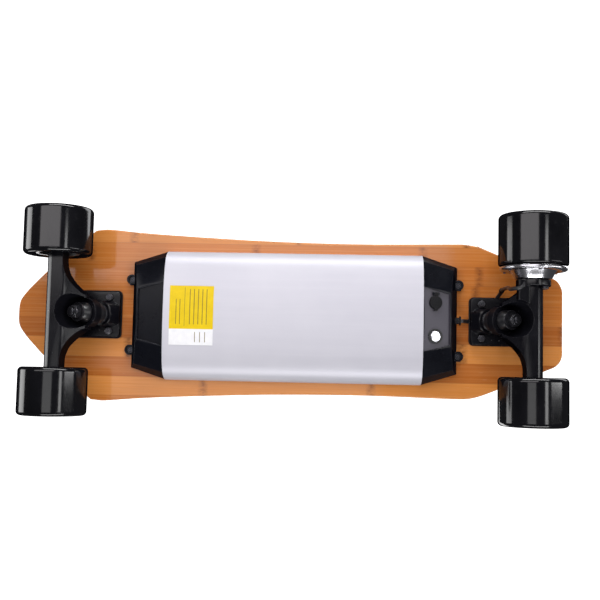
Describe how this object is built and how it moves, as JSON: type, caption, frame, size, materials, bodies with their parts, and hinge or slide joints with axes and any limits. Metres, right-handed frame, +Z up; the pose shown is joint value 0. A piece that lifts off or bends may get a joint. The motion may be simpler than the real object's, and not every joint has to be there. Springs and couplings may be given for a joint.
{
  "type": "electric skateboard",
  "caption": "Short electric skateboard: bamboo deck, sprung steering trucks, black urethane wheels, a hub motor and an underslung aluminium battery case.",
  "frame": {"origin": "middle of the whole board's footprint, on the ground under the wheels", "axes": "+X towards the nose, +Y towards the rider's left (the motor wheel's side), +Z up; the ground is z = 0"},
  "size_m": [0.6676, 0.2438, 0.109],
  "materials": {
    "bamboo": "lacquered, satin gloss",
    "core_plies": "bare laminated edge",
    "grip": "coarse abrasive",
    "black_rubber": "matt",
    "truck_black": "satin powder coat",
    "bushing_urethane": "satin",
    "black_steel": "black oxide",
    "zinc_steel": "zinc plated",
    "axle_steel": "turned",
    "bearing_steel": "polished",
    "shell_aluminium": "bead blasted and clear anodised",
    "cap_plastic": "satin moulded",
    "wheel_urethane": "glossy urethane",
    "core_plastic": "moulded",
    "motor_aluminium": "polished",
    "motor_can_black": "satin anodised",
    "magnet": "nickel plated",
    "lamination": "stacked sheet",
    "copper": "enamelled wire",
    "cable_black": "satin jacket",
    "button_metal": "polished",
    "bezel_plastic": "gloss",
    "label_yellow": "printed film",
    "cell_wrap": "shrink wrap",
    "holder_plastic": "moulded",
    "circuit_board": "solder mask",
    "brass_insert": "knurled"
  },
  "bodies": {
    "board": {"deck_core": "core_plies", "deck_veneers": "bamboo", "grip_tape": "grip", "riser_pads": "black_rubber", "front_baseplate": "truck_black", "rear_baseplate": "truck_black", "pivot_cups": "black_rubber", "kingpins": "black_steel", "kingpin_nuts": "black_steel", "front_bushings": "bushing_urethane", "rear_bushings": "bushing_urethane", "bushing_washers": "black_steel", "truck_bolts": "black_steel", "truck_lock_nuts": "black_steel", "enclosure_shell": "shell_aluminium", "front_end_cap": "cap_plastic", "rear_end_cap": "cap_plastic", "enclosure_screws": "black_steel", "deck_inserts": "brass_insert", "battery_cells": "cell_wrap", "battery_cell_holders": "holder_plastic", "battery_management_board": "circuit_board", "motor_controller": "circuit_board", "battery_leads": "cable_black", "charge_port_socket": "bezel_plastic", "power_button_bezel": "bezel_plastic", "cable_grommet": "black_rubber", "deck_cable": "cable_black", "info_label": "label_yellow"},
    "charge_cap": {"charge_port_cap": "black_rubber"},
    "button": {"power_button": "button_metal"},
    "front_truck": {"front_hanger": "truck_black", "front_axle": "axle_steel", "front_axle_nuts": "zinc_steel", "front_speed_washers": "zinc_steel", "front_inner_races": "bearing_steel"},
    "rear_truck": {"rear_hanger": "truck_black", "rear_axle": "axle_steel", "rear_axle_nut": "zinc_steel", "rear_speed_washers": "zinc_steel", "rear_inner_races": "bearing_steel", "motor_mount_flange": "truck_black", "motor_mount_screws": "black_steel", "motor_stator": "lamination", "motor_windings": "copper", "motor_lead_cable": "cable_black"},
    "front_left_wheel": {"front_left_tyre": "wheel_urethane", "front_left_wheel_core": "core_plastic", "front_left_bearings": "bearing_steel"},
    "front_right_wheel": {"front_right_tyre": "wheel_urethane", "front_right_wheel_core": "core_plastic", "front_right_bearings": "bearing_steel"},
    "rear_right_wheel": {"rear_right_tyre": "wheel_urethane", "rear_right_wheel_core": "core_plastic", "rear_right_bearings": "bearing_steel"},
    "motor_wheel": {"motor_tyre": "wheel_urethane", "motor_can": "motor_can_black", "motor_magnets": "magnet", "motor_inner_cover": "motor_aluminium", "motor_bearings": "bearing_steel"}
  },
  "joints": [
    {"name": "front_steer", "type": "hinge", "parent": "board", "child": "front_truck", "pos_m": [0.2379, 0, 0.066], "axis": [0.8508, 0, 0.5255], "range_deg": [-8, 8], "stiffness_Nm_per_rad": 120, "deforming": ["front_bushings"]},
    {"name": "rear_steer", "type": "hinge", "parent": "board", "child": "rear_truck", "pos_m": [-0.2544, 0, 0.066], "axis": [-0.8508, 0, 0.5255], "range_deg": [-8, 8], "stiffness_Nm_per_rad": 120, "deforming": ["rear_bushings"]},
    {"name": "front_left_wheel_spin", "type": "hinge", "parent": "front_truck", "child": "front_left_wheel", "pos_m": [0.2699, 0.0939, 0.04], "axis": [0, 1, 0], "continuous": true},
    {"name": "front_right_wheel_spin", "type": "hinge", "parent": "front_truck", "child": "front_right_wheel", "pos_m": [0.2699, -0.0939, 0.04], "axis": [0, 1, 0], "continuous": true},
    {"name": "rear_right_wheel_spin", "type": "hinge", "parent": "rear_truck", "child": "rear_right_wheel", "pos_m": [-0.2864, -0.0939, 0.04], "axis": [0, 1, 0], "continuous": true},
    {"name": "motor_wheel_spin", "type": "hinge", "parent": "rear_truck", "child": "motor_wheel", "pos_m": [-0.2864, 0.0939, 0.04], "axis": [0, 1, 0], "continuous": true},
    {"name": "power_button_press", "type": "slide", "parent": "board", "child": "button", "axis": [0.2299, 0, 0.9732], "range_m": [0, 0.0012], "stiffness_N_per_m": 1500},
    {"name": "charge_cap_open", "type": "hinge", "parent": "board", "child": "charge_cap", "pos_m": [-0.17724, 0.0304, 0.06082], "axis": [0.9732, 0, -0.2299], "range_deg": [0, 100]}
  ]
}
